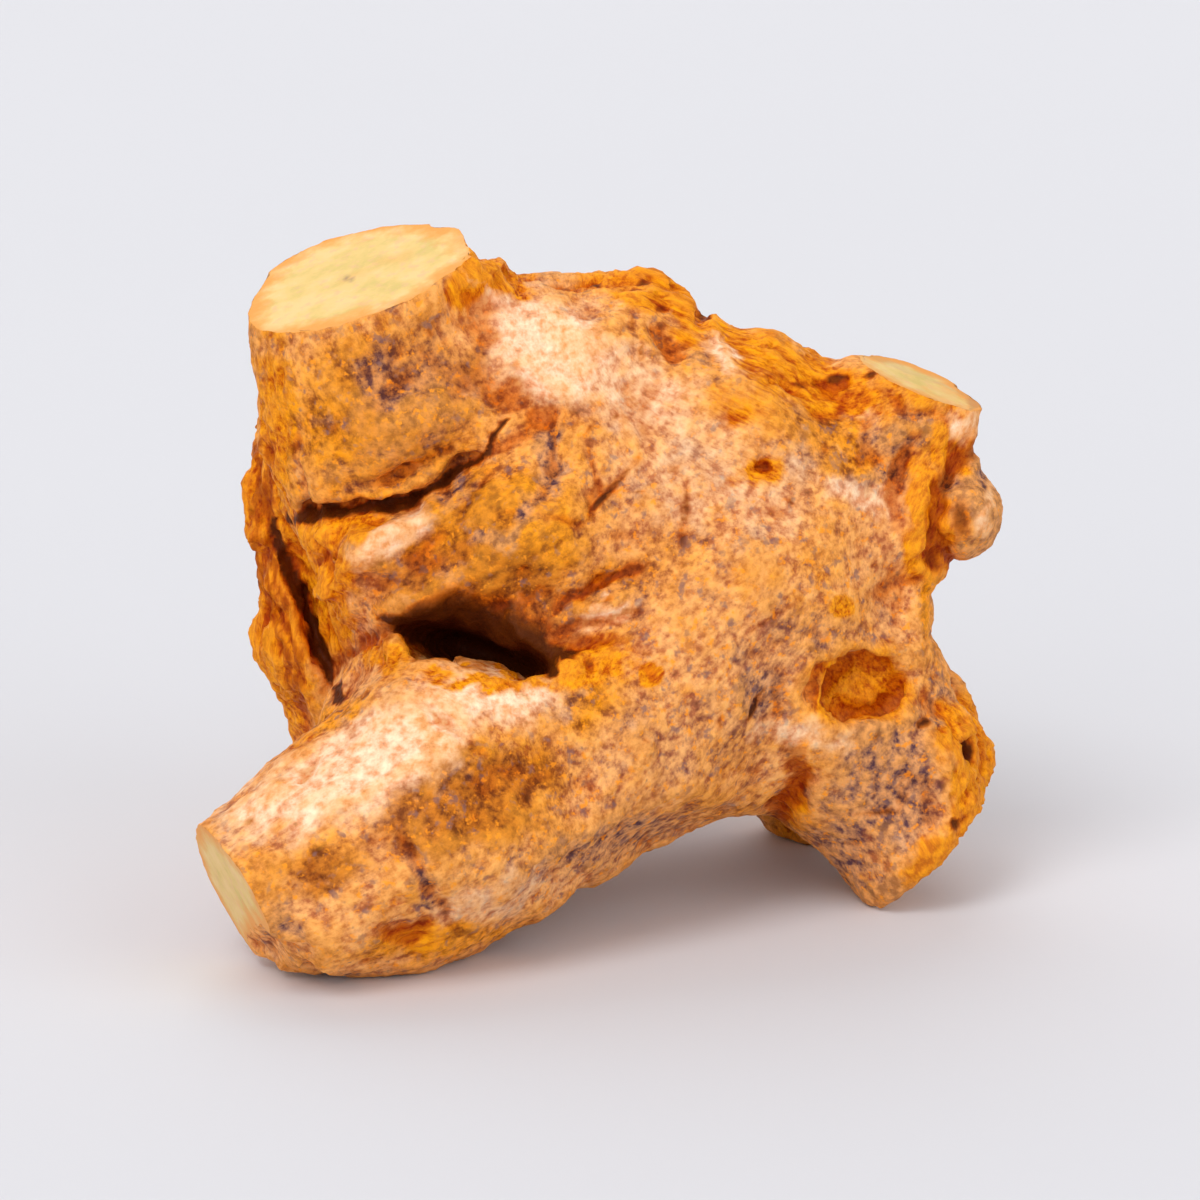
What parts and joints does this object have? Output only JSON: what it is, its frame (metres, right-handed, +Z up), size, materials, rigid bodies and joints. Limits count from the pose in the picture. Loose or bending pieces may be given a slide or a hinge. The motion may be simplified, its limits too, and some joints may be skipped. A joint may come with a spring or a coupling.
{
  "type": "notoginseng root",
  "caption": "Dried notoginseng root, a gnarled grown lump with trimmed stubs, folds, knobs and scars, resting on its short legs.",
  "frame": {"origin": "under the middle of the root's bounding box, on the surface that it rests on", "axes": "+Z up, +X to the right across the root's front, +Y away from the viewer"},
  "size_m": [0.0433, 0.0381, 0.0361],
  "materials": {
    "dried_bark": "dry, rough and matte, pale where cut"
  },
  "bodies": {
    "root": {"notoginseng_root": "dried_bark"}
  },
  "joints": []
}
